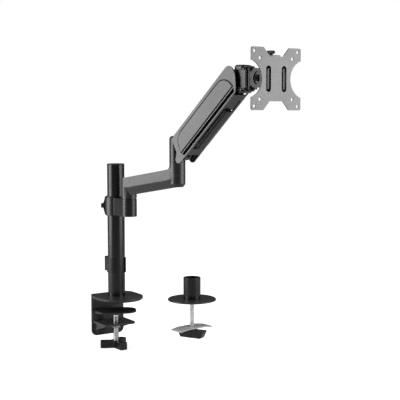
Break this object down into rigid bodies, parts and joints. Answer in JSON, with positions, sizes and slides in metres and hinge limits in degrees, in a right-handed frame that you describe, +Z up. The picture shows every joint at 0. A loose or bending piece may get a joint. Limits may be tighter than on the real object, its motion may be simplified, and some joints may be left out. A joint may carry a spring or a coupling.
{
  "type": "monitor arm",
  "caption": "Pole-mounted gas-spring monitor arm with a desk clamp, a folding lower arm, a tilting and turning screen plate, and a spare grommet base beside it.",
  "frame": {"origin": "on the pole's axis, at the desk top (the underside of the pad under the desk plate)", "axes": "+Z up along the pole; -Y forwards, the way the screen plate faces; +X to the right for someone behind the pole facing forwards"},
  "size_m": [0.2303, 0.4916, 0.639],
  "materials": {
    "satin_tube": "satin black tube",
    "powder_coat": "fine black powder coat",
    "cast_arm": "die casting with fine dark grey paint",
    "plate_paint": "dark grey powder coat",
    "cover_plastic": "matt dark grey plastic",
    "panel_plastic": "fine textured grey plastic",
    "black_plastic": "black plastic",
    "nylon": "black nylon",
    "bright_steel": "bright zinc plated",
    "black_steel": "black oxide",
    "grey_steel": "dull zinc plated",
    "rubber": "soft black"
  },
  "bodies": {
    "desk_clamp": {"desk_pad": "rubber", "desk_plate": "powder_coat", "lower_jaw": "powder_coat", "jaw_bolts": "black_steel", "jaw_nut": "grey_steel", "pole": "satin_tube", "pole_cap": "black_plastic", "pole_foot_plug": "grey_steel", "pole_bolt": "grey_steel", "cable_clip": "black_plastic"},
    "clamp_pad": {"pressure_pad": "powder_coat", "pad_rubber": "rubber"},
    "clamp_handle": {"clamp_screw": "bright_steel", "clamp_knob": "black_plastic"},
    "pole_sleeve": {"height_sleeve": "nylon"},
    "pole_collar": {"collar": "cast_arm", "collar_screw": "black_steel", "brake_shoe": "nylon", "pivot_bush": "nylon", "pivot_cap": "black_plastic"},
    "first_arm": {"lower_arm": "cast_arm", "pivot_spindle": "grey_steel", "pivot_screw": "grey_steel", "elbow_bush": "nylon", "elbow_cap": "black_plastic", "lower_arm_cover": "black_plastic"},
    "shoulder": {"shoulder_post": "cast_arm", "elbow_spindle": "grey_steel", "elbow_screw": "grey_steel", "shoulder_pins": "grey_steel", "spring_anchor": "grey_steel"},
    "spring_arm": {"beam_channel": "cast_arm", "side_cover_left": "cover_plastic", "side_cover_right": "cover_plastic", "side_panel_left": "panel_plastic", "side_panel_right": "panel_plastic", "top_cover": "cover_plastic", "lower_end_cover": "black_plastic", "upper_end_cover": "black_plastic", "cable_cover": "black_plastic"},
    "parallel_link": {"upper_link": "powder_coat", "spring_pin": "grey_steel"},
    "spring_tube": {"gas_cylinder": "satin_tube"},
    "spring_rod": {"gas_rod": "bright_steel"},
    "carrier": {"head_carrier": "cast_arm", "carrier_pins": "grey_steel", "swivel_pin": "black_steel", "swivel_washers": "nylon"},
    "head_swivel": {"swivel_block": "cast_arm", "tilt_bolt": "black_steel"},
    "tilt_head": {"tilt_hub": "cast_arm", "rotation_nut": "grey_steel"},
    "turning_bracket": {"hook_bracket": "powder_coat"},
    "plate": {"screen_plate": "plate_paint"},
    "thumb_knob": {"thumb_screw": "black_steel"},
    "grommet_base": {"grommet_disc": "powder_coat", "grommet_stub": "satin_tube", "grommet_rod": "bright_steel"},
    "grommet_bar": {"grommet_plate": "grey_steel"},
    "grommet_handle": {"grommet_knob": "black_plastic"}
  },
  "joints": [
    {"name": "clamp_height", "type": "slide", "parent": "desk_clamp", "child": "clamp_pad", "axis": [0, 0, 1], "range_m": [-0.014, 0.01]},
    {"name": "clamp_turn", "type": "hinge", "parent": "clamp_pad", "child": "clamp_handle", "pos_m": [0, 0.0045, -0.06], "axis": [0, 0, 1], "range_deg": [-3361, 2401]},
    {"name": "arm_height", "type": "slide", "parent": "desk_clamp", "child": "pole_sleeve", "axis": [0, 0, 1], "range_m": [-0.09, 0.06]},
    {"name": "collar_turn", "type": "hinge", "parent": "pole_sleeve", "child": "pole_collar", "pos_m": [0, 0, 0.206], "axis": [0, 0, 1], "range_deg": [-180, 180]},
    {"name": "arm_pivot", "type": "hinge", "parent": "pole_collar", "child": "first_arm", "pos_m": [0, -0.06, 0.215], "axis": [0, 0, 1], "range_deg": [-108.4, 71.6]},
    {"name": "elbow", "type": "hinge", "parent": "first_arm", "child": "shoulder", "pos_m": [0.04261, -0.1881, 0.29], "axis": [0, 0, 1], "range_deg": [-90, 90]},
    {"name": "lift", "type": "hinge", "parent": "shoulder", "child": "spring_arm", "pos_m": [0.04864, -0.20622, 0.3225], "axis": [-0.9489, -0.3156, 0], "range_deg": [-75.5, 4.5]},
    {"name": "link_swing", "type": "hinge", "parent": "shoulder", "child": "parallel_link", "pos_m": [0.0477, -0.20338, 0.3465], "axis": [-0.9489, -0.3156, 0], "range_deg": [-75.6, 4.6]},
    {"name": "carrier_level", "type": "hinge", "parent": "spring_arm", "child": "carrier", "pos_m": [0.09023, -0.33126, 0.45659], "axis": [-0.9489, -0.3156, 0], "range_deg": [-4.6, 75.6]},
    {"name": "spring_swing", "type": "hinge", "parent": "parallel_link", "child": "spring_tube", "pos_m": [0.08223, -0.3072, 0.44929], "axis": [-0.9489, -0.3156, 0], "range_deg": [-2, 2]},
    {"name": "spring_stroke", "type": "slide", "parent": "spring_tube", "child": "spring_rod", "axis": [0.2162, -0.65, 0.7286], "range_m": [-0.002, 0.02]},
    {"name": "head_pan", "type": "hinge", "parent": "carrier", "child": "head_swivel", "pos_m": [0.101, -0.36361, 0.47199], "axis": [0, 0, 1], "range_deg": [-30, 66.8]},
    {"name": "head_tilt", "type": "hinge", "parent": "head_swivel", "child": "tilt_head", "pos_m": [0.101, -0.40261, 0.47199], "axis": [1, 0, 0], "range_deg": [-45, 45]},
    {"name": "head_rotate", "type": "hinge", "parent": "tilt_head", "child": "turning_bracket", "pos_m": [0.101, -0.42861, 0.47199], "axis": [0, -1, 0], "range_deg": [-90, 90]},
    {"name": "plate_hook", "type": "slide", "parent": "turning_bracket", "child": "plate", "axis": [0, 0, 1], "range_m": [0, 0.004]},
    {"name": "thumb_screw_lift", "type": "slide", "parent": "plate", "child": "thumb_knob", "axis": [0, 0, 1], "range_m": [0, 0.006]},
    {"name": "grommet_base_place", "type": "slide", "parent": "desk_clamp", "child": "grommet_base", "axis": [1, 0, 0], "range_m": [0, 0.06]},
    {"name": "grommet_bar_height", "type": "slide", "parent": "grommet_base", "child": "grommet_bar", "axis": [0, 0, 1], "range_m": [0, 0.05]},
    {"name": "grommet_handle_turn", "type": "hinge", "parent": "grommet_bar", "child": "grommet_handle", "pos_m": [0.1263, -0.1128, -0.065], "axis": [0, 0, 1], "range_deg": [-1, 12001]}
  ],
  "couplings": [
    {"joint": "clamp_turn", "follows": "clamp_height", "rad_per_m": 4188.8},
    {"joint": "link_swing", "follows": "lift", "ratio": 1},
    {"joint": "carrier_level", "follows": "lift", "ratio": -1},
    {"joint": "spring_swing", "follows": "lift", "ratio": -0.0026},
    {"joint": "spring_stroke", "follows": "lift", "m_per_rad": -0.01123},
    {"joint": "grommet_handle_turn", "follows": "grommet_bar_height", "rad_per_m": 4188.8}
  ]
}
